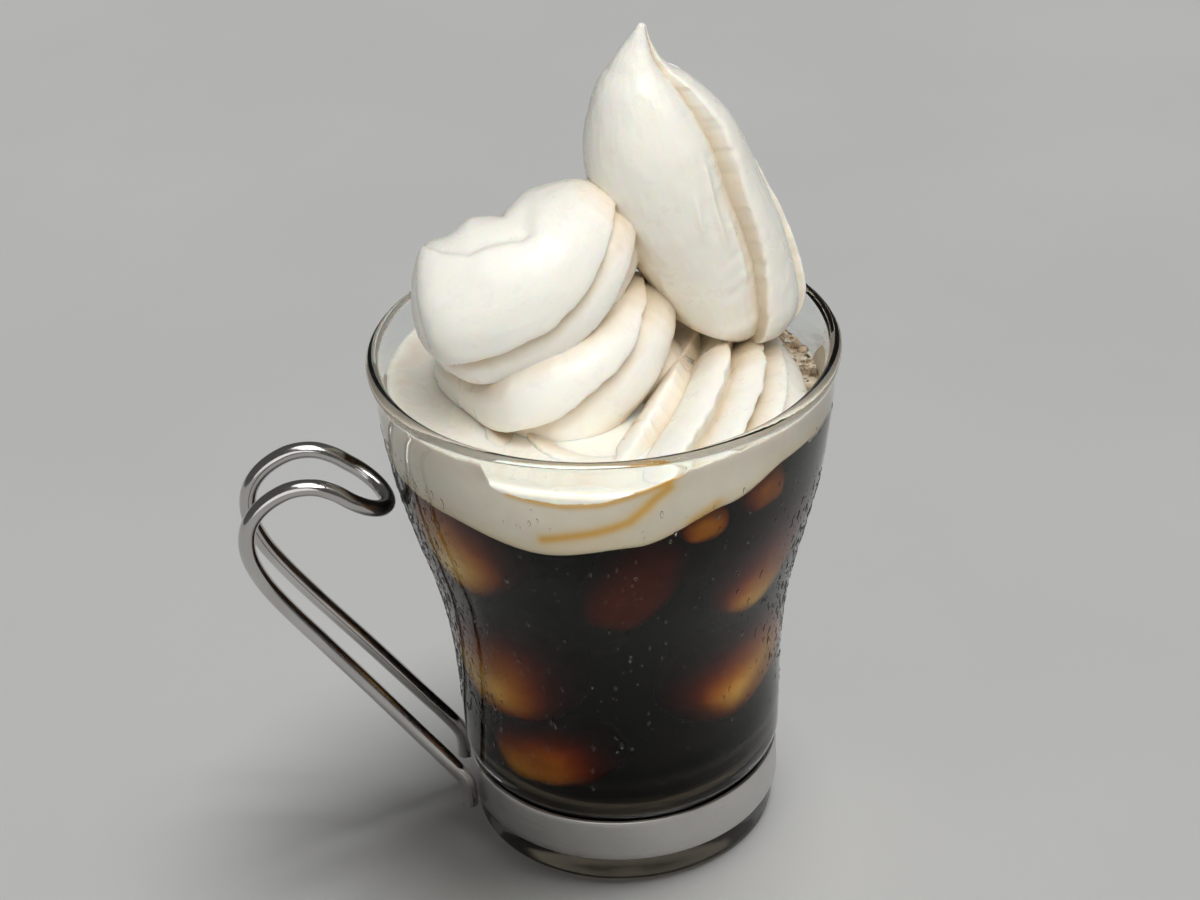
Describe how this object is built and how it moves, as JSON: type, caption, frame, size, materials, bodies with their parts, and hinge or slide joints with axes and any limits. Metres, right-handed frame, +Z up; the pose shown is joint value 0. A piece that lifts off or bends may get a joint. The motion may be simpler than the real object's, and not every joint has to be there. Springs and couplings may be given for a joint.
{
  "type": "iced coffee float",
  "caption": "Glass mug with a steel foot band and bent-wire handle, holding iced coffee, a melted cream layer and a tall swirl of piped soft-serve ice cream.",
  "frame": {"origin": "on the mug's axis, at the surface the mug stands on", "axes": "+Z up along the mug's axis, the handle points to -X and the front of the mug is -Y"},
  "size_m": [0.1073, 0.082, 0.1552],
  "materials": {
    "clear_glass": "polished clear",
    "band_steel": "satin",
    "wire_steel": "polished stainless wire",
    "black_coffee": "dark liquid",
    "melted_cream": "smooth liquid cream",
    "soft_serve_cream": "soft satin ice cream"
  },
  "bodies": {
    "root": {"glass": "clear_glass", "steel_band": "band_steel", "handle_wire": "wire_steel", "coffee": "black_coffee", "melted_cream": "melted_cream", "soft_serve": "soft_serve_cream"}
  },
  "joints": []
}
